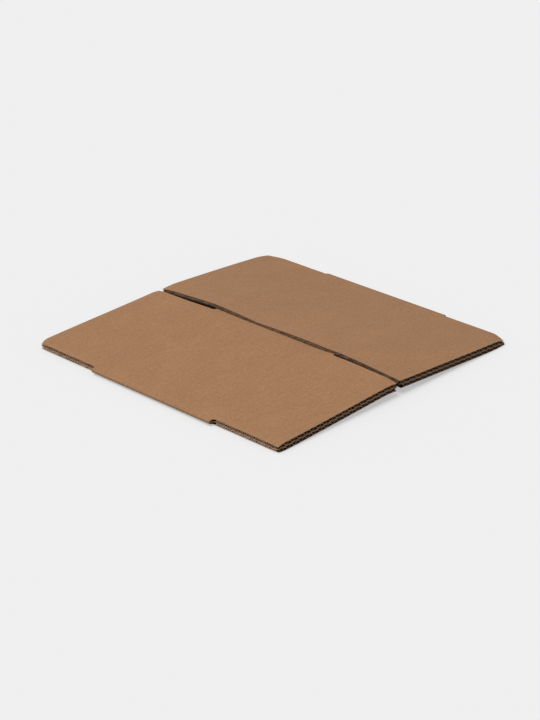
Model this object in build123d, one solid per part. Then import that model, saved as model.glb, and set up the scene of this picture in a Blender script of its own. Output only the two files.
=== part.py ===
from build123d import *
import math
import os

# A shipping box of corrugated board, glued into a tube and folded flat, as its maker delivers it.
# X runs across the side panels, Y along the flutes and Z up, in millimetres. The box rests on a
# narrow strip beside each fold, where the crushed board thins towards the fold's nose. Both layers
# keep the slight bow that a stack presses in: the lower one rises to its crease, and the upper one
# lies close over it and rises to the glued joint.

# Blank
panel_width = 129.4  # from crease to crease
body_height = 127.0  # from one row of flap scores to the other
flap_length = 62.5  # from a row of scores to the open edge
slot_width = 4.8
slot_overrun = 1.0  # how far a slot runs past the middle of its score
tab_width = 32.0
tab_taper = 9.0  # what each end of the tab loses by its free edge

# Board
board = 3.0
liner = 0.35
medium = 0.3
flute_pitch = 6.5
glue_line = 0.8  # width of a crest against its liner
crest_radius = 0.9
tab_board = 2.0  # the tab is crushed for its glue

# Creases and scores
crease_board = 1.5  # board thickness at a fold
crease_slit = 0.4  # air inside a fold
crease_reach = 6.0  # crushed board on each side of a fold
rest_strip = 2.0  # width of the strip that the box rests on, beside each fold
crease_groove = 2.4  # width of the unfolded crease underneath
score_groove = 3.0  # width of a flap score
groove_depth = 0.25

# Shape at rest
layer_gap = 0.4  # air between the layers where a fold's crushed board ends
bow = 6.9  # lower layer's crease above the ground
ridge_height = 16.3  # top of the far panel's cut edge above the ground
joint_step = 1.5  # near panel below the far one
joint_gap = 0.4  # crack between the two
flute_margin = 1.0  # closed board beside a slot

# Places that follow from the sizes
score_y = body_height / 2
edge_y = score_y + flap_length
slot_y = score_y - slot_overrun
crushed_x = panel_width - crease_reach
nose_radius = crease_board + crease_slit / 2
nose_z = board + layer_gap / 2
joint_z = ridge_height - board  # where the far panel lies on the tab
between_z = bow + board + layer_gap  # height between the layers beside the slots
edge_top = 2 * board + layer_gap
cut_room = 5.0  # how far a cutter stands out of the board


class Panel:
    """A flat stretch of board in section, measured along its lower face and square to it."""

    def __init__(self, start, end, thickness=board):
        span = Vector(*end) - Vector(*start)
        self.start = Vector(*start)
        self.length = span.length
        self.along = span.normalized()
        self.square = Vector(-self.along.Y, self.along.X)
        self.thickness = thickness

    def at(self, distance, height):
        return self.start + self.along * distance + self.square * height

    def flute_cell(self, middle, opens_up):
        """The air on one side of the fluting: a flat mouth on one liner, a round crest near the other."""
        mouth = self.thickness - liner if opens_up else liner
        crest = liner + medium if opens_up else self.thickness - liner - medium
        depth = abs(mouth - crest)
        rise = math.copysign(1, mouth - crest)
        half_mouth = (flute_pitch - glue_line) / 2
        radius = min(crest_radius, depth / 2)
        # Slope of the flanks that are tangent to the crest's arc.
        flank = math.atan2(depth - radius, half_mouth)
        flank += math.asin(radius / math.hypot(depth - radius, half_mouth))
        half_arc = radius * math.sin(flank)
        arc_height = crest + rise * radius * (1 - math.cos(flank))
        left = self.at(middle - half_mouth, mouth)
        right = self.at(middle + half_mouth, mouth)
        left_tangent = self.at(middle - half_arc, arc_height)
        right_tangent = self.at(middle + half_arc, arc_height)
        outline = [
            Line(left, left_tangent),
            ThreePointArc(left_tangent, self.at(middle, crest), right_tangent),
            Line(right_tangent, right),
            Line(right, left),
        ]
        return make_face(outline)

    def flute_cells(self, first, last):
        """The cells of all whole flutes between two distances, shared out evenly."""
        overhang = (flute_pitch - glue_line) / 2 - flute_pitch / 4
        room = last - first - 2 * overhang
        count = int(room / flute_pitch)
        begin = first + overhang + (room - count * flute_pitch) / 2
        cells = []
        for index in range(count):
            # A flute's two crests stand a quarter and three quarters of the way along it.
            middle = begin + (index + 1 / 4) * flute_pitch
            cells.append(self.flute_cell(middle, opens_up=True))
            cells.append(self.flute_cell(middle + flute_pitch / 2, opens_up=False))
        return cells


near_panel = Panel((-crushed_x, board + layer_gap), (0, joint_z - joint_step))
far_panel = Panel((joint_gap, joint_z), (crushed_x, board + layer_gap))
lower_left = Panel((-crushed_x, 0), (0, bow))
lower_right = Panel((0, bow), (crushed_x, 0))
tab = Panel(far_panel.at(0, -tab_board), far_panel.at(tab_width, -tab_board), tab_board)


def fold(side, upper, upper_end, lower, lower_end):
    """The edges of a fold in section: the nose outside, and the slit inside, from top to bottom."""
    outward = (side, 0)
    x = side * panel_width
    nose_top = (x, nose_z + nose_radius)
    nose_bottom = (x, nose_z - nose_radius)
    slit_top = (x, nose_z + crease_slit / 2)
    slit_bottom = (x, nose_z - crease_slit / 2)
    foot = lower.at(lower_end, 0)
    strip_end = foot + Vector(side * rest_strip, 0)
    nose = [
        Spline(upper.at(upper_end, board), nose_top, tangents=[upper.along * side, outward]),
        ThreePointArc(nose_top, (x + side * nose_radius, nose_z), nose_bottom),
        Spline(strip_end, nose_bottom, tangents=[outward, outward]),
        Line(strip_end, foot),
    ]
    slit = [
        Spline(upper.at(upper_end, 0), slit_top, tangents=[upper.along * side, outward]),
        ThreePointArc(slit_top, (x + side * crease_slit / 2, nose_z), slit_bottom),
        Spline(lower.at(lower_end, board), slit_bottom, tangents=[lower.along * side, outward]),
    ]
    return nose + slit


def strip_section():
    """The whole strip in section, from the near panel's edge round both folds to the far panel's."""
    left_crease = lower_left.at(lower_left.length - crease_groove / 2, 0)
    right_crease = lower_right.at(crease_groove / 2, 0)
    outline = [
        Line(near_panel.at(near_panel.length, 0), near_panel.at(near_panel.length, board)),
        Line(near_panel.at(near_panel.length, board), near_panel.at(0, board)),
        Line(near_panel.at(near_panel.length, 0), near_panel.at(0, 0)),
        Line(far_panel.at(0, 0), far_panel.at(0, board)),
        Line(far_panel.at(0, board), far_panel.at(far_panel.length, board)),
        Line(far_panel.at(0, 0), far_panel.at(far_panel.length, 0)),
        Line(lower_left.at(0, board), lower_left.at(lower_left.length, board)),
        Line(lower_left.at(lower_left.length, board), lower_right.at(0, board)),
        Line(lower_right.at(0, board), lower_right.at(lower_right.length, board)),
        Line(lower_left.at(0, 0), left_crease),
        ThreePointArc(left_crease, (0, bow + groove_depth), right_crease),
        Line(right_crease, lower_right.at(lower_right.length, 0)),
    ]
    outline += fold(-1, near_panel, 0, lower_left, 0)
    outline += fold(1, far_panel, far_panel.length, lower_right, lower_right.length)
    section = make_face(outline)
    slot_edge = slot_width / 2 + flute_margin
    cells = near_panel.flute_cells(0, near_panel.length - slot_edge)
    cells += far_panel.flute_cells(flute_margin, far_panel.length)
    cells += lower_left.flute_cells(0, lower_left.length - slot_edge)
    cells += lower_right.flute_cells(slot_edge, lower_right.length)
    return section - cells


def glued_tab():
    """The near panel's crushed tab, which the far panel is glued to, with its ends cut at a slant."""
    crease = near_panel.length - board
    outline = Polyline(
        near_panel.at(crease, 0),
        near_panel.at(near_panel.length, joint_step),
        far_panel.at(0, 0),
        far_panel.at(tab_width, 0),
        tab.at(tab_width, 0),
        tab.at(board, 0),
        close=True,
    )
    section = make_face(outline) - tab.flute_cells(board, tab_width)
    end_y = slot_y - slot_width / 2
    short_y = end_y - tab_taper
    plan = Polyline(
        (-board, -end_y),
        (joint_gap, -end_y),
        (tab_width + board, -short_y),
        (tab_width + board, short_y),
        (joint_gap, end_y),
        (-board, end_y),
        close=True,
    )
    length = extrude(Plane.XZ * section, amount=end_y, both=True)
    return length & extrude(make_face(plan), amount=ridge_height)


def slot_cutter(end, right, bottom, top):
    """The slot over the middle crease, from its round inner end to an open edge, through one layer."""
    straight = edge_y + cut_room - slot_y - slot_width / 2
    middle_y = end * (slot_y + slot_width / 2)
    plan = Pos(0, middle_y) * Circle(slot_width / 2)
    plan += Pos(0, middle_y + end * straight / 2) * Rectangle(slot_width, straight)
    plan &= Pos(right - slot_width / 2, middle_y) * Rectangle(slot_width, 2 * straight + slot_width)
    return extrude(Pos(0, 0, bottom) * plan, amount=top - bottom)


def corner_cutter(side, end):
    """Half a slot through both layers, where a slot lies astride a fold."""
    inner_x = panel_width - slot_width / 2
    width = cut_room + slot_width
    length = edge_y - slot_y + cut_room
    plan = Pos(inner_x + width / 2, slot_y + length / 2) * Rectangle(width, length)
    inner_corner = plan.vertices().sort_by(lambda v: v.X + v.Y)[0]
    plan = fillet(inner_corner, slot_width / 2)
    cutter = extrude(Pos(0, 0, -cut_room) * plan, amount=edge_top + 2 * cut_room)
    if side < 0:
        cutter = mirror(cutter, Plane.YZ)
    if end < 0:
        cutter = mirror(cutter, Plane.XZ)
    return cutter


def score_cutter(panel, face_height, end):
    """The round wheel mark of a flap score, across one panel on its outer face."""
    radius = (score_groove**2 / 4 + groove_depth**2) / (2 * groove_depth)
    outward = 1 if face_height > 0 else -1
    middle = panel.at(panel.length / 2, face_height + outward * (radius - groove_depth))
    slope = math.degrees(math.atan2(panel.along.Y, panel.along.X))
    rod = Cylinder(radius, panel.length, rotation=(0, 90, 0))
    return Pos(middle.X, end * score_y, middle.Y) * Rot(0, -slope, 0) * rod


box = extrude(Plane.XZ * strip_section(), amount=edge_y, both=True)
for end in (-1, 1):
    # The far panel's edge is trimmed flush, so the upper slot stops at it.
    box -= slot_cutter(end, joint_gap, between_z, ridge_height + cut_room)
    box -= slot_cutter(end, slot_width / 2, -cut_room, between_z)
    for side in (-1, 1):
        box -= corner_cutter(side, end)
    for panel, face_height in (
        (near_panel, board),
        (far_panel, board),
        (lower_left, 0),
        (lower_right, 0),
    ):
        box -= score_cutter(panel, face_height, end)
box += glued_tab()

os.makedirs("parts", exist_ok=True)
export_step(box, "parts/flattened_box.step")
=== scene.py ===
"""A flattened shipping box of brown fluted board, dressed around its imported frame.

The blank is first laid out flat: u runs across its panels, from the far panel's free edge to the
tip of the glue tab, v runs along the flutes, and h runs through the board, from its inner face to
its outer one. One folding rule then lays every piece in place. All lengths are in metres.
"""

import logging
import math
from dataclasses import dataclass, field
from enum import Enum

import bpy
import numpy as np
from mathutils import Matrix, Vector


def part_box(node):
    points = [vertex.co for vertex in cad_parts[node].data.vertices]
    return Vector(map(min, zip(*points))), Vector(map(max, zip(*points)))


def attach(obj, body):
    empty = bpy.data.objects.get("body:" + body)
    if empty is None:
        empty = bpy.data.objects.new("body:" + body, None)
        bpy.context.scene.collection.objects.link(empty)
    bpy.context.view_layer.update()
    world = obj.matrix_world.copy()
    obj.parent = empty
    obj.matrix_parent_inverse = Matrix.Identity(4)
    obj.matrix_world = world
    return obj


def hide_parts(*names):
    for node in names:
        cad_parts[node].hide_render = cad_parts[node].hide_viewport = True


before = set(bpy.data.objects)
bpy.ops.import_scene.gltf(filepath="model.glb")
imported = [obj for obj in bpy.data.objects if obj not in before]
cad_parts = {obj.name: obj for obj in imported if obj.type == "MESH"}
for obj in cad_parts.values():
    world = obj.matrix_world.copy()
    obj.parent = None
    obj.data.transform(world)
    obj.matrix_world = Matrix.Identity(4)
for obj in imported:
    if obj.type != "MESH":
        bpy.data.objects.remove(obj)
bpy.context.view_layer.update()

MM = 0.001
NODE = "flattened_box"
BODY = "root"
PLAN = "plan"
ROUNDING = 1e-9  # share of a step that rounding may cost

Materials = list[bpy.types.Material]
Socket = bpy.types.NodeSocket
Triple = tuple[float, float, float]

log = logging.getLogger("flattened_box")


def put(name: str, data: bpy.types.ID) -> bpy.types.Object:
    """Makes an object of some data and puts it in the scene."""
    item = bpy.data.objects.new(name, data)
    bpy.context.scene.collection.objects.link(item)
    return item


class Stretch(Enum):
    """What a stretch across the blank ends in, at both ends of the flutes."""

    FLAP = "flap"
    SLOT = "slot"
    NOTCH = "notch"
    TAB = "tab"


class Shade(Enum):
    """How much light reaches a cut. The value is the number of the torn paper's finish there."""

    OPEN = 0
    JOINT = 1
    UNDER = 2  # in the lower slot, beneath the joint


@dataclass(frozen=True)
class Board:
    """The corrugated board: a fluted web glued between two liners."""

    caliper: float = 3.0 * MM
    liner: float = 0.25 * MM
    web: float = 0.3 * MM
    flute_pitch: float = 6.53 * MM
    pressed: float = 1.5 * MM  # caliper at a folded crease
    tab_caliper: float = 2.0 * MM

    @property
    def wave(self) -> float:
        """Half the web's travel between the liners."""
        return (self.caliper - 2 * self.liner - self.web) / 2


@dataclass(frozen=True)
class Cut:
    """A knife's cut along the flutes, alike at both ends of the blank."""

    u: float
    way: int  # which way along u the board lies
    start: float
    end: float


@dataclass(frozen=True)
class Blank:
    """The flat sheet that the box is cut from, with its sizes along u and v."""

    half_length: float
    panel: float = 129.4 * MM
    joint_gap: float = 0.4 * MM
    score: float = 63.5 * MM  # v of the flap scores
    slot_end: float = 62.5 * MM  # v where a slot's round end begins
    slot_radius: float = 2.4 * MM
    tab_width: float = 32 * MM
    tab_root: float = 60.1 * MM  # v of the tab's corners
    tab_tip: float = 51.1 * MM
    tab_ease: tuple[float, float] = (-0.8 * MM, 1.2 * MM)  # where the board thins for the tab
    crease_reach: float = 6 * MM  # pressed board on each side of a fold
    shade_reach: float = 1 * MM  # shaded board beside a cut that lies in shadow

    @property
    def middle(self) -> float:
        """The u of the lower layer's crease."""
        return 2 * self.panel

    @property
    def joint(self) -> float:
        """The u of the crease between the near panel and the tab."""
        return 4 * self.panel

    @property
    def folds(self) -> tuple[float, float]:
        """The u of the two folds."""
        return self.panel, 3 * self.panel

    @property
    def slots(self) -> tuple[float, ...]:
        """The u of the middle of each slot between two flaps."""
        return tuple(self.panel * index for index in (1, 2, 3))

    @property
    def round_end(self) -> float:
        """The v where a slot's straight sides begin."""
        return self.slot_end + self.slot_radius

    @property
    def cuts(self) -> list[Cut]:
        """The far panel's free edge and both sides of each slot, in the order of u."""
        sides = [(slot + way * self.slot_radius, way) for slot in self.slots for way in (-1, 1)]
        sides.append((self.joint - self.slot_radius, -1))
        slotted = [Cut(u, way, self.round_end, self.half_length) for u, way in sides]
        return [Cut(self.joint_gap, 1, 0.0, self.half_length)] + slotted

    def shade(self, u: float) -> Shade:
        """Tells how shaded a cut is.

        Args:
            u: The cut's place across the blank.

        Returns:
            Its shade.
        """
        if u < self.joint_gap + self.shade_reach:
            return Shade.JOINT
        if abs(u - self.middle) < self.slot_radius + self.shade_reach:
            return Shade.UNDER
        return Shade.OPEN

    def onto_tab(self, u: np.ndarray, before: float, after: float) -> np.ndarray:
        """Gives a value that changes where the near panel becomes the tab."""
        return np.interp(u - self.joint, self.tab_ease, [before, after])

    def stretch(self, u: float) -> Stretch:
        """Tells what the blank ends in at a place.

        Args:
            u: Place across the blank, not on a line between two stretches.

        Returns:
            The kind of stretch there.
        """
        if u > self.joint:
            return Stretch.TAB
        if u > self.joint - self.slot_radius:
            return Stretch.NOTCH
        if any(abs(u - slot) < self.slot_radius for slot in self.slots):
            return Stretch.SLOT
        return Stretch.FLAP

    def reach(self, u: float, stretch: Stretch) -> float:
        """Measures how far the sheet runs along v.

        Args:
            u: Place across the blank.
            stretch: The kind of stretch that the place belongs to.

        Returns:
            The v of the sheet's edge there.
        """
        if stretch is Stretch.FLAP:
            return self.half_length
        if stretch is Stretch.TAB:
            share = (u - self.joint) / self.tab_width
            return self.tab_root + (self.tab_tip - self.tab_root) * share
        off = min(abs(u - middle) for middle in (*self.slots, self.joint))
        off = min(off, self.slot_radius)
        return self.round_end - math.sqrt(self.slot_radius**2 - off**2)


@dataclass(frozen=True)
class Dent:
    """A corner of the folded box that handling has crushed, bent down and blunted."""

    x: float
    y: float
    way: int  # which way along x the board lies
    reach: float
    crush: float = 0.0  # how far the outer faces are pressed in
    bend: float = 0.0  # how far the corner hangs down
    blunt: float = 0.0  # how far it is pushed in, along x and along y
    fade: float = 1.5  # the higher, the more the harm keeps to the corner
    play: float = 0.5 * MM  # board past the corner that moves with it

    def share(self, x: np.ndarray, y: np.ndarray) -> np.ndarray:
        """Gives how much places move with the corner, from 0 at its reach to 1."""
        near = np.clip(1 - np.hypot(x - self.x, y - self.y) / self.reach, 0, 1)
        return near**self.fade * ((x - self.x) * self.way > -self.play)


@dataclass(frozen=True)
class Droop:
    """How a pair of flaps hangs down at its open edge, from the joint to the fold."""

    depth: float  # at the joint
    fade: float  # the lower, the nearer to the fold it holds out

    def at(self, share: np.ndarray) -> np.ndarray:
        """Gives the droop at places from 0 at the fold to 1 at the joint."""
        return self.depth * share**self.fade


@dataclass(frozen=True)
class Wave:
    """A place along the joint where a panel's edge has settled deeper."""

    y: float
    depth: float
    width: float

    def at(self, y: np.ndarray) -> np.ndarray:
        """Gives how much deeper the edge lies."""
        return self.depth * np.exp(-(((y - self.y) / self.width) ** 2))


@dataclass(frozen=True)
class Ripple:
    """The slight unevenness of a pressed sheet. It swings by a radian over each of its lengths."""

    depth: float = 0.1 * MM
    across: float = 17 * MM
    along: float = 23 * MM
    skew: float = 90 * MM
    phase: float = 1.0

    def at(self, x: np.ndarray, y: np.ndarray) -> np.ndarray:
        """Gives how much deeper places lie."""
        swing = np.sin(x / self.across + self.phase) * np.sin(y / self.along + x / self.skew)
        return self.depth * swing


@dataclass(frozen=True)
class Lie:
    """How the folded box lies on the ground."""

    ridge: float  # top of the far panel's edge
    dents: tuple[Dent, ...]
    bow: float = 6.9 * MM  # lower layer's crease above the ground
    joint_step: float = 1.5 * MM  # near panel below the far one
    layer_gap: float = 0.4 * MM  # air between the layers where a fold's pressed board ends
    fold_slit: float = 0.4 * MM  # air inside a fold
    dip: float = 1.2 * MM  # how far the body's middle lies below its ends at the ridge
    near_front: Droop = Droop(2.2 * MM, 0.65)
    near_back: Droop = Droop(1.7 * MM, 1.1)
    far_front: Droop = Droop(4.2 * MM, 0.65)
    far_back: Droop = Droop(3.9 * MM, 1.5)
    lean: tuple[float, float] = (0.1 * MM, 1.4 * MM)  # more step at the front and back
    near_waves: tuple[Wave, ...] = (
        Wave(-48 * MM, 1.3 * MM, 24 * MM),
        Wave(17 * MM, -0.35 * MM, 18 * MM),
        Wave(97 * MM, 0.35 * MM, 26 * MM),
    )
    far_waves: tuple[Wave, ...] = (
        Wave(-60 * MM, 0.9 * MM, 16 * MM),
        Wave(17 * MM, 0.8 * MM, 14 * MM),
    )
    ripple: Ripple = Ripple()
    score_mark: float = 0.12 * MM  # depth that the wheels have pressed into the outer face
    crease_mark: float = 0.25 * MM
    mark_width: float = 1.2 * MM


def spread(start: float, end: float, step: float) -> np.ndarray:
    """Divides a length evenly.

    Args:
        start: First value.
        end: Last value.
        step: Longest step allowed.

    Returns:
        Values from start to end.
    """
    count = max(1, math.ceil(abs(end - start) / step - ROUNDING))
    return np.linspace(start, end, count + 1)


@dataclass
class Folding:
    """The rule that folds the flat blank. A point in section is a complex number, x + iz."""

    blank: Blank
    board: Board
    lie: Lie
    arc_plan: float = 0.1 * MM  # half of what a fold's arc takes of the plan
    glue: float = 0.05 * MM  # between the tab and the far panel
    samples: int = 24

    def __post_init__(self) -> None:
        """Works out the middle of the board in section, all along u."""
        blank, board, lie = self.blank, self.board, self.lie
        half = board.caliper / 2
        foot_x = blank.panel - blank.crease_reach
        upper_foot_z = board.caliper + lie.layer_gap
        joint_z = lie.ridge - board.caliper
        far = self._raised(complex(blank.joint_gap, joint_z), complex(foot_x, upper_foot_z), half)
        near_z = joint_z - lie.joint_step
        near = self._raised(complex(-foot_x, upper_foot_z), complex(0, near_z), half)
        right = self._raised(complex(foot_x, 0), complex(0, lie.bow), -half)
        left = self._raised(complex(0, lie.bow), complex(-foot_x, 0), -half)
        slope = (far[1] - far[0]) / abs(far[1] - far[0])
        root = far[0] - 1j * slope * (half + board.tab_caliper / 2 + self.glue)
        before, after = blank.tab_ease
        tab = (root + slope * after, root + slope * blank.tab_width)
        self._u: list[np.ndarray] = []
        self._centre: list[np.ndarray] = []
        right_fold, left_fold = blank.folds
        self._line(blank.joint_gap, right_fold - blank.crease_reach, *far)
        self._fold(right_fold, blank.panel, far, right)
        self._line(right_fold + blank.crease_reach, blank.middle, *right)
        self._line(blank.middle, left_fold - blank.crease_reach, *left)
        self._fold(left_fold, -blank.panel, left, near)
        step_start, step_end = blank.joint + before, blank.joint + after
        near_end = near[1] + (near[1] - near[0]) / abs(near[1] - near[0]) * before
        self._line(left_fold + blank.crease_reach, step_start, near[0], near_end)
        self._ease(step_start, step_end, near_end, near[1] - near[0], tab[0], slope)
        self._line(step_end, blank.joint + blank.tab_width, *tab)
        self.u = np.concatenate(self._u)
        self.centre = np.concatenate(self._centre)
        along = np.gradient(self.centre)
        self.outward = 1j * along / np.abs(along)
        self.travel = np.concatenate([[0], np.cumsum(np.abs(np.diff(self.centre)))])

    @staticmethod
    def _raised(start: complex, end: complex, height: float) -> tuple[complex, complex]:
        """Moves a line square to itself.

        Args:
            start: One end, in section.
            end: The other end.
            height: How far, to the left of the way from start to end.

        Returns:
            Both ends of the moved line.
        """
        square = 1j * (end - start) / abs(end - start)
        return start + square * height, end + square * height

    def _add(self, u: np.ndarray, centre: np.ndarray) -> None:
        """Adds points to the section, without the first one where it repeats the last."""
        skip = 1 if self._u else 0
        self._u.append(u[skip:])
        self._centre.append(centre[skip:])

    def _line(self, u0: float, u1: float, start: complex, end: complex) -> None:
        """Adds a straight stretch between two points."""
        share = np.linspace(0, 1, self.samples)
        self._add(u0 + (u1 - u0) * share, start + (end - start) * share)

    def _ease(
        self, u0: float, u1: float, start: complex, off: complex, end: complex, on: complex
    ) -> None:
        """Adds a smooth curve from one point to another.

        Args:
            u0: First place across the blank.
            u1: Last place across the blank.
            start: First point.
            off: Direction in which the curve leaves it.
            end: Last point.
            on: Direction in which the curve arrives.
        """
        t = np.linspace(0, 1, self.samples)
        chord = abs(end - start)
        leave, arrive = off / abs(off) * chord, on / abs(on) * chord
        curve = (2 * t**3 - 3 * t**2 + 1) * start + (t**3 - 2 * t**2 + t) * leave
        curve += (3 * t**2 - 2 * t**3) * end + (t**3 - t**2) * arrive
        self._add(u0 + (u1 - u0) * t, curve)

    def _fold(
        self, u: float, x: float, before: tuple[complex, complex], after: tuple[complex, complex]
    ) -> None:
        """Adds a fold: an ease to its edge, half a turn, and an ease back.

        Args:
            u: Place of the fold across the blank.
            x: Where its edge comes.
            before: Both ends of the panel that leads to it.
            after: Both ends of the panel that follows.
        """
        reach = self.blank.crease_reach
        radius = (self.board.pressed + self.lie.fold_slit) / 2
        middle = complex(x, self.board.caliper + self.lie.layer_gap / 2)
        side = math.copysign(1, x)
        angles = np.linspace(side * math.pi / 2, -side * math.pi / 2, self.samples)
        if side < 0:
            angles = np.linspace(-math.pi / 2, -3 * math.pi / 2, self.samples)
        turn = middle + radius * np.exp(1j * angles)
        arc_start, arc_end = u - self.arc_plan, u + self.arc_plan
        self._ease(u - reach, arc_start, before[1], before[1] - before[0], turn[0], side)
        self._add(np.linspace(arc_start, arc_end, self.samples), turn)
        self._ease(arc_end, u + reach, turn[-1], -side, after[0], after[1] - after[0])

    def caliper(self, u: np.ndarray) -> np.ndarray:
        """Gives the board's thickness, which its creases and the tab's press reduce.

        Args:
            u: Places across the blank.

        Returns:
            The thickness at each place.
        """
        board, blank = self.board, self.blank
        off = np.minimum(np.abs(u - blank.folds[0]), np.abs(u - blank.folds[1]))
        pressed = np.interp(off, [0, blank.crease_reach], [board.pressed, board.caliper])
        tab = blank.onto_tab(u, board.caliper, board.tab_caliper)
        return np.minimum(pressed, tab)

    def wheel_marks(self, u: np.ndarray, v: np.ndarray) -> np.ndarray:
        """Gives how deep the creasing wheels have pressed the outer face.

        Args:
            u: Places across the blank.
            v: Places along the flutes.

        Returns:
            The depth at each place.
        """
        lie = self.lie
        off_score = (np.abs(v) - self.blank.score) / lie.mark_width
        off_crease = (u - self.blank.middle) / lie.mark_width
        return lie.score_mark * np.exp(-(off_score**2)) + lie.crease_mark * np.exp(-(off_crease**2))

    def flap_share(self, y: np.ndarray) -> np.ndarray:
        """Gives how far out on a flap places lie, from 0 at its score to 1 at its open edge."""
        hinge = self.blank.round_end
        return np.clip((np.abs(y) - hinge) / (self.blank.half_length - hinge), 0, 1)

    def drop(self, u: np.ndarray, x: np.ndarray, y: np.ndarray) -> np.ndarray:
        """Gives how far the layers have settled from the straight section.

        Args:
            u: Places across the blank.
            x: Where they lie across the folded box.
            y: Where they lie along it.

        Returns:
            The drop at each place.
        """
        lie, blank = self.lie, self.blank
        share = np.clip(1 - np.abs(x) / (blank.panel - blank.crease_reach), 0, 1)
        dip = lie.dip * (1 - np.minimum(np.abs(y) / blank.score, 1) ** 2)
        near = x < -blank.slot_radius / 2
        front = np.where(near, lie.near_front.at(share), lie.far_front.at(share))
        back = np.where(near, lie.near_back.at(share), lie.far_back.at(share))
        droop = np.where(y < 0, front, back) * self.flap_share(y)
        near_edge = np.interp(y, [-blank.score, blank.score], lie.lean)
        near_edge = near_edge + sum(wave.at(y) for wave in lie.near_waves)
        far_edge = sum(wave.at(y) for wave in lie.far_waves)
        slack = lie.ridge - lie.bow - 2 * self.board.caliper - lie.layer_gap
        slack = slack - np.where(near, lie.joint_step + near_edge, far_edge)
        meet = slack * self.flap_share(y)
        nearness = blank.onto_tab(u, 1, 0) * (u > blank.folds[1])
        settled = near_edge * nearness + far_edge * (1 - nearness)
        lower = (u > blank.folds[0]) & (u < blank.folds[1])
        level = np.where(lower, -meet, settled)
        bend = sum(dent.bend * dent.share(x, y) for dent in lie.dents)
        return share * (dip + level) + droop + lie.ripple.at(x, y) * np.sqrt(share) + bend

    def place(self, flat: np.ndarray) -> np.ndarray:
        """Folds points of the flat blank.

        Args:
            flat: Rows of u, v and h.

        Returns:
            Rows of x, y and z.
        """
        u, v, h = flat.T
        centre = np.interp(u, self.u, self.centre)
        outward = np.interp(u, self.u, self.outward)
        harm = [(dent, dent.share(centre.real, v)) for dent in self.lie.dents]
        pressed = self.wheel_marks(u, v) + sum(dent.crush * share for dent, share in harm)
        height = h / self.board.caliper
        depth = height * self.caliper(u) - (height + 0.5) * pressed
        point = centre + outward / np.abs(outward) * depth
        x = point.real + sum(dent.way * dent.blunt * share for dent, share in harm)
        y = v - sum(math.copysign(dent.blunt, dent.y) * share for dent, share in harm)
        z = np.maximum(point.imag - self.drop(u, centre.real, v), 0)
        return np.stack([x, y, z], axis=1)

    def plan(self, flat: np.ndarray) -> np.ndarray:
        """Gives the coordinates that the finishes read: true travel across the board, v and h.

        Args:
            flat: Rows of u, v and h.

        Returns:
            Rows of travel, v and h.
        """
        travel = np.interp(flat[:, 0], self.u, self.travel)
        return np.stack([travel, flat[:, 1], flat[:, 2]], axis=1)


class Field:
    """A number that varies from place to place: a node's socket, with the operators used here."""

    def __init__(self, graph: "Graph", socket: Socket) -> None:
        """Wraps a socket.

        Args:
            graph: The graph that the socket belongs to.
            socket: The output that carries the number.
        """
        self.graph, self.socket = graph, socket

    def _math(self, operation: str, *values: "Field | float") -> "Field":
        """Adds a Math node on some values and wraps its result."""
        node = self.graph.add("ShaderNodeMath", {"operation": operation}, dict(enumerate(values)))
        return Field(self.graph, node.outputs[0])

    def __add__(self, other: "Field | float") -> "Field":
        """Adds."""
        return self._math("ADD", self, other)

    def __sub__(self, other: "Field | float") -> "Field":
        """Takes away."""
        return self._math("SUBTRACT", self, other)

    def __rsub__(self, other: float) -> "Field":
        """Takes this from a number."""
        return self._math("SUBTRACT", other, self)

    def __mul__(self, other: "Field | float") -> "Field":
        """Multiplies."""
        return self._math("MULTIPLY", self, other)

    def __truediv__(self, other: "Field | float") -> "Field":
        """Divides."""
        return self._math("DIVIDE", self, other)

    __radd__ = __add__
    __rmul__ = __mul__

    def cosine(self) -> "Field":
        """Gives the cosine of an angle in radians."""
        return self._math("COSINE", self)

    def above(self, limit: float) -> "Field":
        """Gives 1 where the number is above a limit, and else 0."""
        return self._math("GREATER_THAN", self, limit)

    def ramp(self, start: float, end: float) -> "Field":
        """Gives a smooth rise from 0 at start to 1 at end, or a fall where end is the lower."""
        node = self.graph.add(
            "ShaderNodeMapRange",
            {"interpolation_type": "SMOOTHSTEP"},
            {"Value": self, "From Min": start, "From Max": end},
        )
        return Field(self.graph, node.outputs["Result"])


class Graph:
    """A node tree that grows one node at a time."""

    def __init__(self, tree: bpy.types.NodeTree) -> None:
        """Takes over an empty tree."""
        self.tree = tree

    def add(self, kind: str, settings: dict, inputs: dict) -> bpy.types.Node:
        """Adds a node.

        Args:
            kind: The node's type.
            settings: Its properties, which are set first.
            inputs: A value, a socket or a Field for each input, by name or number.

        Returns:
            The new node.
        """
        node = self.tree.nodes.new(kind)
        for name, value in settings.items():
            setattr(node, name, value)
        for key, value in inputs.items():
            socket = node.inputs[key]
            if isinstance(value, Field):
                value = value.socket
            if isinstance(value, Socket):
                self.tree.links.new(value, socket)
            else:
                socket.default_value = value
        return node

    def combine(self, x: Field | float, y: Field | float, z: Field | float) -> Socket:
        """Joins three numbers into a vector."""
        return self.add("ShaderNodeCombineXYZ", {}, {"X": x, "Y": y, "Z": z}).outputs[0]

    def separate(self, vector: Socket) -> tuple[Field, Field, Field]:
        """Splits a vector into its three numbers."""
        node = self.add("ShaderNodeSeparateXYZ", {}, {"Vector": vector})
        x, y, z = (Field(self, socket) for socket in node.outputs)
        return x, y, z

    def stretched(self, vector: Socket, factors: Triple) -> Socket:
        """Multiplies a vector by a number of its own along each axis."""
        node = self.add("ShaderNodeVectorMath", {"operation": "MULTIPLY"}, {0: vector, 1: factors})
        return node.outputs[0]

    def scaled(self, vector: Socket, factor: Field | float) -> Socket:
        """Multiplies a vector or a colour by a number."""
        inputs = {"Vector": vector, "Scale": factor}
        return self.add("ShaderNodeVectorMath", {"operation": "SCALE"}, inputs).outputs["Vector"]


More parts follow.
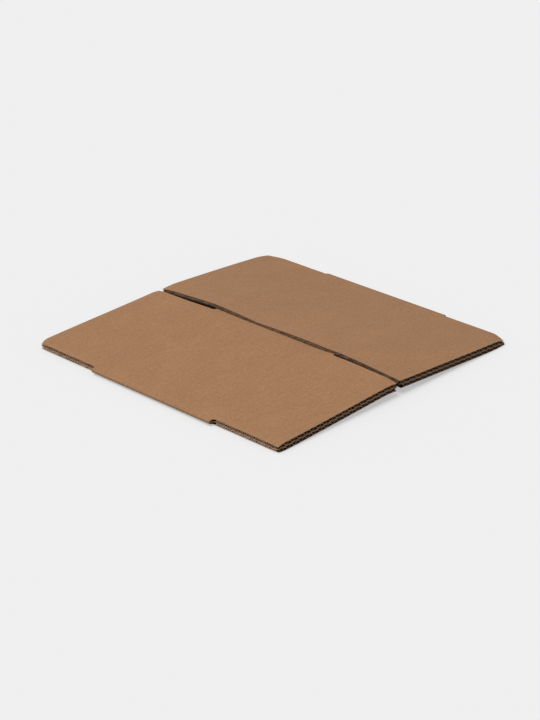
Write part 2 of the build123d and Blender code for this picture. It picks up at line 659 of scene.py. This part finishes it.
class Surface(Graph):
    """The node tree of a material."""

    def __init__(self, name: str) -> None:
        """Makes an empty material.

        Args:
            name: The material's name.
        """
        self.material = bpy.data.materials.new(name)
        self.material.use_nodes = True
        super().__init__(self.material.node_tree)
        self.tree.nodes.clear()

    def finish(self, shader: bpy.types.Node) -> bpy.types.Material:
        """Connects the last shader and hands over the material."""
        self.add("ShaderNodeOutputMaterial", {}, {"Surface": shader.outputs[0]})
        return self.material


@dataclass(frozen=True)
class Marks:
    """One kind of mark in paper: a noise that may be drawn out in one direction."""

    strength: float  # share by which it lightens or darkens the colour
    per_metre: Triple  # how many lie across the flutes, along them and through the board
    detail: float = 2.0
    roughness: float = 0.55
    gain: float = 3.0

    def scatter(self, surface: Surface, plan: Socket) -> Field:
        """Adds the noise, which runs from about -1 to 1.

        Args:
            surface: The material's graph.
            plan: The coordinates of the board.

        Returns:
            The noise.
        """
        texture = surface.add(
            "ShaderNodeTexNoise",
            {"noise_dimensions": "3D"},
            {
                "Vector": surface.stretched(plan, self.per_metre),
                "Scale": 1.0,
                "Detail": self.detail,
                "Roughness": self.roughness,
            },
        )
        return (Field(surface, texture.outputs[0]) - 0.5) * self.gain


@dataclass(frozen=True)
class Specks:
    """The few dark flecks of bark that unbleached paper holds."""

    strength: float = 0.35
    per_metre: Triple = (120, 190, 190)
    size: float = 0.05  # of the room that each has
    bare: float = 0.8  # share of the rooms that hold none

    def scatter(self, surface: Surface, plan: Socket) -> Field:
        """Scatters the flecks.

        Args:
            surface: The material's graph.
            plan: The coordinates of the board.

        Returns:
            1 in a fleck and 0 elsewhere.
        """
        cells = surface.add(
            "ShaderNodeTexVoronoi",
            {"feature": "F1"},
            {"Vector": surface.stretched(plan, self.per_metre), "Scale": 1.0},
        )
        chosen, size, _ = surface.separate(cells.outputs["Color"])
        near = (Field(surface, cells.outputs["Distance"]) - size * self.size).ramp(self.size, 0.0)
        return near * chosen.above(self.bare)


@dataclass(frozen=True)
class Paper:
    """A paper surface: its colour, how its fibres lie and how rough it is."""

    name: str
    colour: Triple
    clouds: Marks = Marks(0.05, (28, 45, 45))
    streaks: Marks = Marks(0.085, (75, 520, 520), 3.0)
    grain: Marks = Marks(0.18, (420, 650, 650))
    fibres: Marks = Marks(0.2, (700, 2300, 2300))
    specks: Specks = Specks()
    drift: float = 0.05  # slow change of tone across the board
    drift_middle: float = 0.45  # metres of travel to where it is lightest
    drift_length: float = 0.56
    flute_tone: float = 0.006
    flute_relief: float = 0.012  # millimetres
    fibre_relief: float = 0.03  # millimetres
    roughness: float = 0.78
    roughness_play: float = 0.06
    gloss: float = 0.3

    def make(self, board: Board) -> bpy.types.Material:
        """Builds the material.

        Args:
            board: The board, for the pitch at which its flutes show through.

        Returns:
            The material.
        """
        surface = Surface(self.name)
        plan = surface.add("ShaderNodeAttribute", {"attribute_name": PLAN}, {}).outputs["Vector"]
        across, _, _ = surface.separate(plan)
        drift = ((across - self.drift_middle) * (2 * math.pi / self.drift_length)).cosine() - 1
        flutes = (across * (2 * math.pi / board.flute_pitch)).cosine()
        streaks, fibres = self.streaks.scatter(surface, plan), self.fibres.scatter(surface, plan)
        tone = 1 + drift * self.drift + self.clouds.scatter(surface, plan) * self.clouds.strength
        tone = tone + streaks * self.streaks.strength
        tone = tone + self.grain.scatter(surface, plan) * self.grain.strength
        tone = tone + fibres * self.fibres.strength + flutes * self.flute_tone
        tone = tone * (1 - self.specks.scatter(surface, plan) * self.specks.strength)
        relief = fibres * self.fibre_relief + streaks * (self.fibre_relief / 2)
        heights = {"Strength": 1.0, "Distance": MM, "Height": relief + flutes * self.flute_relief}
        bump = surface.add("ShaderNodeBump", {}, heights)
        colour = surface.add("ShaderNodeRGB", {}, {})
        colour.outputs[0].default_value = (*self.colour, 1)
        shader = surface.add(
            "ShaderNodeBsdfPrincipled",
            {},
            {
                "Base Color": surface.scaled(colour.outputs[0], tone),
                "Roughness": self.roughness + fibres * self.roughness_play,
                "Specular IOR Level": self.gloss,
                "Normal": bump.outputs[0],
            },
        )
        return surface.finish(shader)


class Growth(Graph):
    """A geometry tree with named inputs, which is run once for each set of values."""

    weld: float = 0.001 * MM  # how near points have to lie to be one

    def __init__(self, name: str) -> None:
        """Makes an empty tree.

        Args:
            name: The tree's name.
        """
        super().__init__(bpy.data.node_groups.new(name, "GeometryNodeTree"))
        sockets = self.tree.interface
        sockets.new_socket("Geometry", in_out="OUTPUT", socket_type="NodeSocketGeometry")
        self.entry = self.tree.nodes.new("NodeGroupInput")

    def ask(self, name: str, kind: str = "Float") -> Field:
        """Adds a named input.

        Args:
            name: Its name.
            kind: Its socket's type, such as Float or Int.

        Returns:
            The input's value.
        """
        self.tree.interface.new_socket(name, in_out="INPUT", socket_type=f"NodeSocket{kind}")
        return Field(self, self.entry.outputs[name])

    def grid(
        self, length: Field, width: Field, columns: Field | int, rows: Field | int
    ) -> tuple[Socket, Field, Field]:
        """Adds a flat grid.

        Args:
            length: Its size along X.
            width: Its size along Y.
            columns: How many points it has along X.
            rows: How many along Y.

        Returns:
            The mesh, and where its points lie along X and along Y.
        """
        names = ("Size X", "Size Y", "Vertices X", "Vertices Y")
        sizes = dict(zip(names, (length, width, columns, rows)))
        grid = self.add("GeometryNodeMeshGrid", {}, sizes)
        position = self.add("GeometryNodeInputPosition", {}, {}).outputs[0]
        x, y, _ = self.separate(position)
        return grid.outputs["Mesh"], x, y

    def moved(self, mesh: Socket, offset: Socket) -> Socket:
        """Moves the points of a mesh."""
        inputs = {"Geometry": mesh, "Offset": offset}
        return self.add("GeometryNodeSetPosition", {}, inputs).outputs[0]

    def drawn(self, limits: tuple[Triple, Triple], seed: Field) -> Socket:
        """Draws a vector between two others for each item, the same at each run."""
        inputs = {"Min": limits[0], "Max": limits[1], "Seed": seed}
        node = self.add("FunctionNodeRandomValue", {"data_type": "FLOAT_VECTOR"}, inputs)
        return node.outputs["Value"]

    def thickened(self, mesh: Socket, thickness: Field) -> Socket:
        """Turns an open sheet into a closed one.

        Args:
            mesh: The sheet.
            thickness: Its thickness, half on each side.

        Returns:
            The closed shell.
        """
        normal = self.add("GeometryNodeInputNormal", {}, {}).outputs[0]
        lowered = self.moved(mesh, self.scaled(normal, thickness * -0.5))
        top = self.add(
            "GeometryNodeExtrudeMesh",
            {"mode": "FACES"},
            {"Mesh": lowered, "Offset Scale": thickness, "Individual": False},
        ).outputs[0]
        bottom = self.add("GeometryNodeFlipFaces", {}, {"Mesh": lowered}).outputs[0]
        joined = self.tree.nodes.new("GeometryNodeJoinGeometry")
        for part in (bottom, top):
            self.tree.links.new(part, joined.inputs[0])
        inputs = {0: joined.outputs[0], "Distance": self.weld}
        return self.add("GeometryNodeMergeByDistance", {}, inputs).outputs[0]

    def end(self, mesh: Socket, material: bpy.types.Material) -> None:
        """Ends the tree in real geometry with its material.

        Args:
            mesh: What the tree has made.
            material: Its material.
        """
        real = self.add("GeometryNodeRealizeInstances", {}, {"Geometry": mesh}).outputs[0]
        dressed = self.add("GeometryNodeSetMaterial", {}, {"Geometry": real, "Material": material})
        self.add("NodeGroupOutput", {}, {"Geometry": dressed.outputs[0]})

    def run(self, values: dict[str, float]) -> tuple[np.ndarray, list[list[int]]]:
        """Runs the tree.

        Args:
            values: A value for each input, by name.

        Returns:
            The points, and each face as a list of their numbers.
        """
        carrier = put("carrier", bpy.data.meshes.new("carrier"))
        modifier = carrier.modifiers.new("growth", "NODES")
        modifier.node_group = self.tree
        for item in self.tree.interface.items_tree:
            if item.in_out == "INPUT":
                modifier[item.identifier] = values[item.name]
        depsgraph = bpy.context.evaluated_depsgraph_get()
        mesh = bpy.data.meshes.new_from_object(carrier.evaluated_get(depsgraph))
        points = np.empty(len(mesh.vertices) * 3)
        mesh.vertices.foreach_get("co", points)
        faces = [list(face.vertices) for face in mesh.polygons]
        carrier.modifiers.remove(modifier)
        bpy.data.objects.remove(carrier)
        bpy.data.meshes.remove(mesh)
        return points.reshape(-1, 3), faces


@dataclass
class Piece:
    """A piece of the box, gathered flat and then folded into place."""

    name: str
    folding: Folding
    materials: Materials  # in the order that its faces name them
    smooth_angle: float = math.radians(40)
    points: list[np.ndarray] = field(default_factory=list)
    faces: list[list[int]] = field(default_factory=list)
    finishes: list[int] = field(default_factory=list)
    count: int = 0

    def add(self, points: np.ndarray, faces: list[list[int]], finishes: list[int]) -> None:
        """Adds a part of the piece.

        Args:
            points: Rows of u, v and h.
            faces: The faces on them.
            finishes: The number of each face's finish.
        """
        self.faces += [[index + self.count for index in face] for face in faces]
        self.finishes += finishes
        self.points.append(points)
        self.count += len(points)

    def build(self) -> bpy.types.Object:
        """Folds the piece, and makes its object ride on the box in place of the plain solid.

        Returns:
            The object.
        """
        flat = np.concatenate(self.points)
        mesh = bpy.data.meshes.new(self.name)
        mesh.from_pydata(self.folding.place(flat).tolist(), [], self.faces)
        for material in self.materials:
            mesh.materials.append(material)
        mesh.polygons.foreach_set("material_index", self.finishes)
        mesh.polygons.foreach_set("use_smooth", [True] * len(self.faces))
        plan = mesh.attributes.new(PLAN, "FLOAT_VECTOR", "POINT")
        plan.data.foreach_set("vector", self.folding.plan(flat).ravel())
        mesh.set_sharp_from_angle(angle=self.smooth_angle)
        mesh.validate()
        piece = put(self.name, mesh)
        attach(piece, BODY)
        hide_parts(NODE)
        mesh.calc_loop_triangles()
        log.info("%s: %d triangles", self.name, len(mesh.loop_triangles))
        return piece


@dataclass(frozen=True)
class Knife:
    """The toothed slotting knife, which leaves a saw-like cut along the slots."""

    tooth_pitch: float = 2.117 * MM
    depth: float = 0.3 * MM
    points_per_tooth: int = 4
    offset: float = 7 * MM  # way across the blank that shifts the teeth by one
    slow: float = 6 * MM  # lengths over which the depth swings by a radian
    quick: float = 2.3 * MM
    slow_share: float = 0.3  # shares of the depth that swing so
    quick_share: float = 0.2

    def stops(self, start: float, end: float) -> np.ndarray:
        """Gives the places that a cut needs points at."""
        return spread(start, end, self.tooth_pitch / self.points_per_tooth)

    def bite(self, along: np.ndarray, edge: float) -> np.ndarray:
        """Gives how deep the cut runs into the board.

        Args:
            along: Places along the cut.
            edge: The cut's own place, which sets it off from the other cuts.

        Returns:
            The depth at each place.
        """
        saw = np.abs((along / self.tooth_pitch + edge / self.offset) % 1 - 0.5) * 2
        slow = self.slow_share * np.sin(along / self.slow + edge / MM)
        quick = self.quick_share * np.sin(along / self.quick - edge / MM)
        return self.depth * saw * (1 - self.slow_share - self.quick_share + slow + quick)


@dataclass
class Layout:
    """The whole blank divided into cells, each a face with points in common with its neighbours."""

    blank: Blank
    knife: Knife
    cell: float = 3.3 * MM  # longest cell across the blank
    row: float = 6 * MM  # and along it
    edge_reach: float = 5 * MM  # stretch of closer rows by the open ends
    edge_rows: int = 5
    end_room: float = 1 * MM  # least length of the last cell by a slot or the tab's end
    ease_cell: float = 0.4 * MM  # longest cell where the board thins for the tab
    fold_steps: int = 12
    arc_steps: int = 8  # round a slot's end
    edge_steps: tuple[float, ...] = (0.6 * MM, 1.2 * MM, 2 * MM)  # closer cells beside the cuts
    score_rows: tuple[float, ...] = (-2 * MM, -1 * MM, 0.0, 1 * MM, 2 * MM)
    score_reach: float = 3.5 * MM  # stretch of closer rows on each side of a score
    decimals: int = 7  # of a metre, to which places are rounded so that neighbours share them

    def __post_init__(self) -> None:
        """Lays out the cells."""
        self.lines = self._lines()
        self.on_line: list[set[int]] = [set() for _ in self.lines]
        columns = [self._column(index) for index in range(len(self.lines) - 1)]
        for index, (left, right) in enumerate(columns):
            self.on_line[index].update(left)
            self.on_line[index + 1].update(right)
        for cut in self.blank.cuts:
            self.on_line[self._line_of(cut)].update(self._cut_stops(cut))
        self.numbers: dict[tuple[int, int], int] = {}
        self.cells: list[list[int]] = []
        for index, column in enumerate(columns):
            self.cells += self._cells(index, *column)
        self.flat = self._flat()

    def _lines(self) -> list[float]:
        """Chooses the lines across the blank, closer where it bends or a slot ends."""
        blank = self.blank
        arc = blank.slot_radius * np.sin(np.linspace(-math.pi / 2, math.pi / 2, self.arc_steps + 1))
        fixed = [blank.joint_gap, blank.joint + blank.tab_width, *(blank.joint + arc[arc <= 0])]
        fixed += list(blank.joint + spread(*blank.tab_ease, self.ease_cell))
        for slot in blank.slots:
            fixed += [slot - blank.crease_reach, *(slot + arc), slot + blank.crease_reach]
            for step in self.edge_steps:
                fixed += [slot - blank.slot_radius - step, slot + blank.slot_radius + step]
        for fold in blank.folds:
            fixed += list(fold + np.linspace(-1, 1, self.fold_steps + 1) * Folding.arc_plan)
        fixed = sorted({round(line, self.decimals) for line in fixed})
        lines = [line for pair in zip(fixed, fixed[1:]) for line in spread(*pair, self.cell)]
        return sorted({round(line, self.decimals) for line in lines})

    def _line_of(self, cut: Cut) -> int:
        """Finds the number of a cut's line."""
        return min(range(len(self.lines)), key=lambda index: abs(self.lines[index] - cut.u))

    def _cut_stops(self, cut: Cut) -> list[int]:
        """Gives the places along v of a cut's own points."""
        stops = [self._key(stop) for stop in self.knife.stops(cut.start, cut.end)]
        return stops + [-stop for stop in stops]

    def _key(self, v: float) -> int:
        """Rounds a place along v, so that neighbours find the same point."""
        return round(v * 10**self.decimals)

    def _column(self, index: int) -> tuple[list[int], list[int]]:
        """Gives the places along v where the cells between two lines begin and end.

        Args:
            index: The number of the left line.

        Returns:
            The places on the left line and on the right one.
        """
        left, right = self.lines[index], self.lines[index + 1]
        stretch = self.blank.stretch((left + right) / 2)
        ends = [self.blank.reach(line, stretch) for line in (left, right)]
        room = min(ends) - self.end_room
        score, half_length = self.blank.score, self.blank.half_length
        rows = [row for row in spread(0, score - self.score_reach, self.row) if row < room]
        if stretch is not Stretch.TAB:
            scored = [score + row for row in (*self.score_rows, self.score_reach)]
            rows += [row for row in scored if row < room or stretch is Stretch.FLAP]
        if stretch is Stretch.FLAP:
            last = half_length - self.edge_reach
            rows += list(spread(score + self.score_reach, last, self.row))[1:]
            rows += list(spread(last, half_length, self.edge_reach / self.edge_rows))[1:-1]
        half = [self._key(row) for row in rows[1:]]
        sides = []
        for end in ends:
            upper = half + [self._key(end)]
            sides.append([-row for row in reversed(upper)] + [0] + upper)
        return sides[0], sides[1]

    def _number(self, index: int, v: int) -> int:
        """Numbers a point, the same each time that it is asked for."""
        return self.numbers.setdefault((index, v), len(self.numbers))

    def _cells(self, index: int, left: list[int], right: list[int]) -> list[list[int]]:
        """Makes the faces between two lines.

        Args:
            index: The number of the left line.
            left: Where its cells begin and end.
            right: Where they do on the right line.

        Returns:
            The faces.
        """
        on_left, on_right = sorted(self.on_line[index]), sorted(self.on_line[index + 1])
        faces = []
        for row in range(len(left) - 1):
            up = [v for v in on_right if right[row] <= v <= right[row + 1]]
            down = [v for v in on_left if left[row] <= v <= left[row + 1]]
            face = [self._number(index + 1, v) for v in up]
            face += [self._number(index, v) for v in reversed(down)]
            faces.append(face)
        return faces

    def _flat(self) -> np.ndarray:
        """Gives u and v of every point, with the knife's bites along the cuts."""
        keys = sorted(self.numbers, key=self.numbers.get)
        lines = np.array([line for line, _ in keys])
        u = np.array(self.lines)[lines]
        v = np.array([key / 10**self.decimals for _, key in keys])
        for cut in self.blank.cuts:
            torn = (lines == self._line_of(cut)) & (np.abs(v) >= cut.start)
            begun = np.minimum((np.abs(v[torn]) - cut.start) / self.knife.tooth_pitch, 1)
            u[torn] += cut.way * begun * self.knife.bite(v[torn], cut.u)
        return np.stack([u, v], axis=1)

    def rim(self) -> list[tuple[int, int]]:
        """Finds the edges that only one face has, in that face's own order."""
        edges = set()
        for face in self.cells:
            edges.update(zip(face, face[1:] + face[:1]))
        return sorted((start, end) for start, end in edges if (end, start) not in edges)


@dataclass(frozen=True)
class Liner:
    """One of the two flat papers: a closed sheet between two depths of the board."""

    name: str
    bottom: float
    top: float

    def build(self, layout: Layout, folding: Folding, materials: Materials) -> bpy.types.Object:
        """Makes the liner.

        Args:
            layout: The blank's cells.
            folding: The rule that folds it.
            materials: The finish of its top, of its underside and of its cut edge, lit and shaded.

        Returns:
            The piece's object.
        """
        piece = Piece(self.name, folding, materials)
        count = len(layout.flat)
        depths = np.repeat([self.top, self.bottom], count)[:, None]
        points = np.concatenate([np.tile(layout.flat, (2, 1)), depths], axis=1)
        tops = layout.cells
        bottoms = [[index + count for index in reversed(face)] for face in tops]
        rim = layout.rim()
        walls = [[end, start, start + count, end + count] for start, end in rim]
        finishes = [0] * len(tops) + [1] * len(bottoms)
        # Cut edges in the open take the cut paper; those by the joint and in the lower slot take
        # the fourth finish, which paints their shade.
        for start, end in rim:
            shade = layout.blank.shade(layout.flat[[start, end], 0].mean())
            finishes.append(2 if shade is Shade.OPEN else 3)
        piece.add(points, tops + bottoms + walls, finishes)
        return piece.build()


@dataclass(frozen=True)
class Web:
    """The fluted paper between the liners, as one closed sheet for each stretch of the blank."""

    name: str = "fluting"
    steps_per_flute: int = 10
    row: float = 12 * MM
    inset: float = 0.05 * MM  # how far it stays behind the liners at the open ends
    set_back: float = 1.2 * MM  # how far it stays behind a cut, where the torn leaves stand

    def tree(self, material: bpy.types.Material) -> Growth:
        """Builds the rule for a fluted sheet: a grid, raised along a cosine and thickened.

        Args:
            material: The finish of the paper.

        Returns:
            The geometry tree.
        """
        growth = Growth("fluted_sheet")
        length, width = growth.ask("Length"), growth.ask("Width")
        steps, rows = growth.ask("Steps", "Int"), growth.ask("Rows", "Int")
        pitch, wave = growth.ask("Flute pitch"), growth.ask("Wave")
        start, thickness = growth.ask("Start"), growth.ask("Thickness")
        flat, along, _ = growth.grid(length, width, steps, rows)
        height = ((along + start) * (2 * math.pi) / pitch).cosine() * wave * -1
        raised = growth.moved(flat, growth.combine(0, 0, height))
        growth.end(growth.thickened(raised, thickness), material)
        return growth

    def stretches(self, blank: Blank) -> list[tuple[float, float, float]]:
        """Lists the stretches of fluting as first u, last u and half their length along v."""
        inner = [cut.u + cut.way * self.set_back for cut in blank.cuts]
        panels = [(*pair, blank.half_length) for pair in zip(inner[::2], inner[1::2])]
        creases = [(*pair, blank.slot_end) for pair in zip(inner[1:-1:2], inner[2:-1:2])]
        joint = (inner[-1], blank.joint, blank.slot_end)
        tab = (blank.joint, blank.joint + blank.tab_width, blank.tab_tip)
        spans = panels + creases + [joint, tab]
        return [(start, end, half - self.inset) for start, end, half in spans]

    def build(self, folding: Folding, materials: Materials) -> bpy.types.Object:
        """Makes the fluting.

        Args:
            folding: The rule that folds it.
            materials: Its finish, near black to paint the shade inside the flutes, and that of its
                cut ends.

        Returns:
            The piece's object.
        """
        blank, board = folding.blank, folding.board
        growth = self.tree(materials[0])
        piece = Piece(self.name, folding, materials)
        for start, end, half in self.stretches(blank):
            middle = (start + end) / 2
            values = {
                "Length": end - start,
                "Width": 2 * half,
                "Steps": math.ceil((end - start) / board.flute_pitch * self.steps_per_flute) + 1,
                "Rows": math.ceil(2 * half / self.row) + 1,
                "Flute pitch": board.flute_pitch,
                "Wave": board.wave,
                "Start": middle - blank.joint_gap,
                "Thickness": board.web,
            }
            points, faces = growth.run(values)
            points[:, 0] += middle
            at_end = np.abs(points[:, 1]) > half - self.inset / 2
            piece.add(points, faces, [int(at_end[face].all()) for face in faces])
        return piece.build()


@dataclass(frozen=True)
class TornEdges:
    """The leaves of fluting that the toothed knife leaves standing across the cut."""

    name: str = "torn_edges"
    width: float = 1.5 * MM
    thickness: float = 0.8 * MM
    slant: float = 2.2 * MM  # how far a leaf leans along the cut, from face to face
    inset: float = 0.65 * MM  # how far its middle stands behind the cut
    rows: int = 4  # points from face to face
    turns: tuple[Triple, Triple] = ((-0.08, -0.2, -0.15), (0.08, 0.2, 0.15))  # radians
    sizes: tuple[Triple, Triple] = ((0.6, 0.8, 0.7), (1.25, 1.0, 1.1))

    def tree(self, material: bpy.types.Material) -> Growth:
        """Builds the rule for a row of leaves: one slanted leaf, repeated along a line.

        Args:
            material: The finish of the torn paper.

        Returns:
            The geometry tree.
        """
        growth = Growth("torn_leaves")
        width, height = growth.ask("Leaf width"), growth.ask("Leaf height")
        slant, thickness = growth.ask("Slant"), growth.ask("Thickness")
        pitch, count = growth.ask("Tooth pitch"), growth.ask("Count", "Int")
        seed = growth.ask("Seed", "Int")
        flat, _, through = growth.grid(width, height, 2, self.rows)
        share = through / height
        leaf = growth.moved(flat, growth.combine(share * slant, 0, share * share * thickness))
        step = growth.combine(pitch, 0, 0)
        line = growth.add("GeometryNodeMeshLine", {}, {"Count": count, "Offset": step})
        row = growth.add(
            "GeometryNodeInstanceOnPoints",
            {},
            {
                "Points": line.outputs["Mesh"],
                "Instance": growth.thickened(leaf, thickness),
                "Rotation": growth.drawn(self.turns, seed),
                "Scale": growth.drawn(self.sizes, seed + 1),
            },
        )
        growth.end(row.outputs[0], material)
        return growth

    def build(self, knife: Knife, folding: Folding, materials: Materials) -> bpy.types.Object:
        """Makes the leaves along every cut.

        Args:
            knife: The knife that made the cuts.
            folding: The rule that folds the board.
            materials: The finish of the torn paper for each shade.

        Returns:
            The piece's object.
        """
        blank, board = folding.blank, folding.board
        growth = self.tree(materials[0])
        piece = Piece(self.name, folding, materials)
        for number, cut in enumerate(blank.cuts):
            start = cut.start + knife.tooth_pitch / 2
            lower = blank.folds[0] < cut.u < blank.folds[1]
            finish = blank.shade(cut.u).value
            for end in (-1, 1):
                values = {
                    "Leaf width": self.width,
                    "Leaf height": board.caliper - 2 * board.liner,
                    "Slant": self.slant * end * (1 if lower else -1),
                    "Thickness": self.thickness,
                    "Tooth pitch": knife.tooth_pitch,
                    "Count": int((cut.end - start) / knife.tooth_pitch),
                    "Seed": 2 * number + end + 1,
                }
                points, faces = growth.run(values)
                along, through, out = points.T
                u = cut.u + cut.way * (self.inset + out)
                flat = np.stack([u, end * (start + along), through], axis=1)
                if cut.way * end < 0:
                    faces = [face[::-1] for face in faces]
                piece.add(flat, faces, [finish] * len(faces))
        return piece.build()


@dataclass(frozen=True)
class Sun:
    """A wide, far lamp, whose light is even all over the floor."""

    name: str
    towards: Triple  # from the box to the lamp
    strength: float
    spread: float  # degrees across, as seen from the box

    def add(self) -> None:
        """Hangs the lamp."""
        light = bpy.data.lights.new(self.name, "SUN")
        light.energy = self.strength
        light.angle = math.radians(self.spread)
        lamp = put(self.name, light)
        lamp.rotation_euler = Vector(self.towards).to_track_quat("Z", "Y").to_euler()


@dataclass(frozen=True)
class Studio:
    """The plain pale room: floor, air, lamp and camera."""

    backdrop: float = 0.863  # how bright the camera sees the floor and the air
    air: float = 0.395  # how much light the air gives
    floor_side: float = 16.0
    floor_depth: float = 0.05 * MM  # below the box
    floor_bounce: float = 0.35  # share of its light that the floor throws back at the box
    shadow_share: float = 0.5  # how much of the box's shadow the camera sees
    key: Sun = Sun("key_lamp", (-0.45, 0.05, 0.89), 2.16, 35.0)
    camera_place: Triple = (-1.0110, -0.9697, 0.6324)
    camera_pitch: float = 24.68  # degrees down
    camera_heading: float = 43.93  # degrees from the X axis
    lens: float = 100.0
    sight: float = 30.0  # how far the camera sees

    def seen_ray(self, graph: Graph) -> Field:
        """Marks the rays that show the background, directly, in a gloss or through glass."""
        path = graph.add("ShaderNodeLightPath", {}, {})
        names = ("Is Camera Ray", "Is Glossy Ray", "Is Transmission Ray")
        camera, gloss, glass = (Field(graph, path.outputs[name]) for name in names)
        return 1 - (1 - camera) * (1 - gloss) * (1 - glass)

    def light_air(self) -> None:
        """Fills the room with an even light, which the camera sees as the pale backdrop."""
        world = bpy.data.worlds.new("room")
        world.use_nodes = True
        bpy.context.scene.world = world
        graph = Graph(world.node_tree)
        graph.tree.nodes.clear()
        seen = self.seen_ray(graph)
        strength = self.air + seen * (self.backdrop - self.air)
        glow = graph.add("ShaderNodeBackground", {}, {"Color": (1, 1, 1, 1), "Strength": strength})
        graph.add("ShaderNodeOutputWorld", {}, {"Surface": glow.outputs[0]})

    def lay_floor(self) -> None:
        """Lays the floor, which keeps the box's shadow."""
        half = self.floor_side / 2
        mesh = bpy.data.meshes.new("floor")
        corners = [(-half, -half), (half, -half), (half, half), (-half, half)]
        mesh.from_pydata([(x, y, -self.floor_depth) for x, y in corners], [], [(0, 1, 2, 3)])
        surface = Surface("floor")
        seen = self.seen_ray(surface)
        pale = [self.backdrop] * 3 + [1]
        dim = [self.floor_bounce] * 3 + [1]
        lit = surface.add("ShaderNodeBsdfDiffuse", {}, {"Color": pale}).outputs[0]
        plain = surface.add("ShaderNodeEmission", {}, {"Color": pale, "Strength": 1.0}).outputs[0]
        bounce = surface.add("ShaderNodeBsdfDiffuse", {}, {"Color": dim}).outputs[0]
        shares = {0: 1 - self.shadow_share, 1: lit, 2: plain}
        shown = surface.add("ShaderNodeMixShader", {}, shares).outputs[0]
        both = surface.add("ShaderNodeMixShader", {}, {0: seen, 1: bounce, 2: shown})
        mesh.materials.append(surface.finish(both))
        put("floor", mesh)

    def set_camera(self) -> None:
        """Stands the camera where the photograph was taken from."""
        pitch, heading = math.radians(self.camera_pitch), math.radians(self.camera_heading)
        level = math.cos(pitch)
        ahead = (level * math.cos(heading), level * math.sin(heading), -math.sin(pitch))
        camera = put("camera", bpy.data.cameras.new("camera"))
        camera.data.lens = self.lens
        camera.data.clip_end = self.sight
        camera.location = self.camera_place
        camera.rotation_euler = Vector(ahead).to_track_quat("-Z", "Y").to_euler()
        bpy.context.scene.camera = camera

    def build(self) -> None:
        """Sets up the room."""
        bpy.context.scene.view_settings.view_transform = "Standard"
        self.light_air()
        self.lay_floor()
        self.key.add()
        self.set_camera()


def harmed_corners(blank: Blank) -> tuple[Dent, ...]:
    """Lists the corners that handling has harmed.

    Args:
        blank: The flat sheet's sizes.

    Returns:
        The dents, at the left fold, the right fold and the joint.
    """
    edge, end = blank.panel - blank.slot_radius, blank.half_length
    return (
        Dent(-edge, end, 1, 7 * MM, crush=1.0 * MM, bend=0.9 * MM, blunt=0.5 * MM),
        Dent(-edge, -end, 1, 8 * MM, crush=0.4 * MM, bend=0.4 * MM, blunt=0.3 * MM),
        Dent(edge, -end, -1, 13 * MM, crush=1.2 * MM, bend=2.2 * MM, blunt=0.8 * MM),
        Dent(edge, end, -1, 18 * MM, crush=0.5 * MM, bend=1.0 * MM, blunt=0.3 * MM),
        Dent(-blank.slot_radius, end, -1, 6 * MM, crush=0.3 * MM, bend=0.3 * MM, blunt=0.3 * MM),
        Dent(-blank.slot_radius, -end, -1, 12 * MM, bend=1.2 * MM),
        Dent(blank.joint_gap, end, 1, 16 * MM, crush=0.5 * MM, bend=0.8 * MM, blunt=0.3 * MM),
    )


def main() -> None:
    """Builds the room and the box, and reports each piece."""
    logging.basicConfig(level=logging.INFO, format="%(name)s: %(message)s")
    Studio().build()
    _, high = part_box(NODE)
    board, knife = Board(), Knife()
    blank = Blank(half_length=high[1])
    folding = Folding(blank, board, Lie(high[2], harmed_corners(blank)))
    layout = Layout(blank, knife)
    papers = (
        Paper("kraft_face", (0.342, 0.178, 0.086)),
        Paper("kraft_back", (0.32, 0.165, 0.08)),
        # The fluting's finish is near black, far darker than the paper itself: it paints the shade
        # inside the flutes and deep in the slots.
        Paper("fluting_with_painted_shade", (0.04, 0.022, 0.011), specks=Specks(0.2), flute_relief=0.0),
        Paper("cut_paper", (0.54, 0.34, 0.215), flute_relief=0.0, roughness=0.9),
        Paper("torn_paper", (0.5, 0.31, 0.198), flute_relief=0.0, roughness=0.9),
        Paper("shaded_torn_paper", (0.24, 0.15, 0.1), flute_relief=0.0),
    )
    face, back, web, cut, torn, shaded = (paper.make(board) for paper in papers)
    half = board.caliper / 2
    # The liners' faces towards the flutes, and their cut edges by the joint and in the lower slot,
    # take the fluting's painted shade.
    outer = Liner("outer_liner", half - board.liner, half)
    outer.build(layout, folding, [face, web, cut, web])
    inner = Liner("inner_liner", -half, board.liner - half)
    inner.build(layout, folding, [web, back, cut, web])
    Web().build(folding, [web, cut])
    # Leaves by the joint take the painted shade of the shaded torn paper, those in the lower slot
    # the fluting's painted shade.
    TornEdges().build(knife, folding, [torn, shaded, web])


if __name__ == "__main__":
    main()
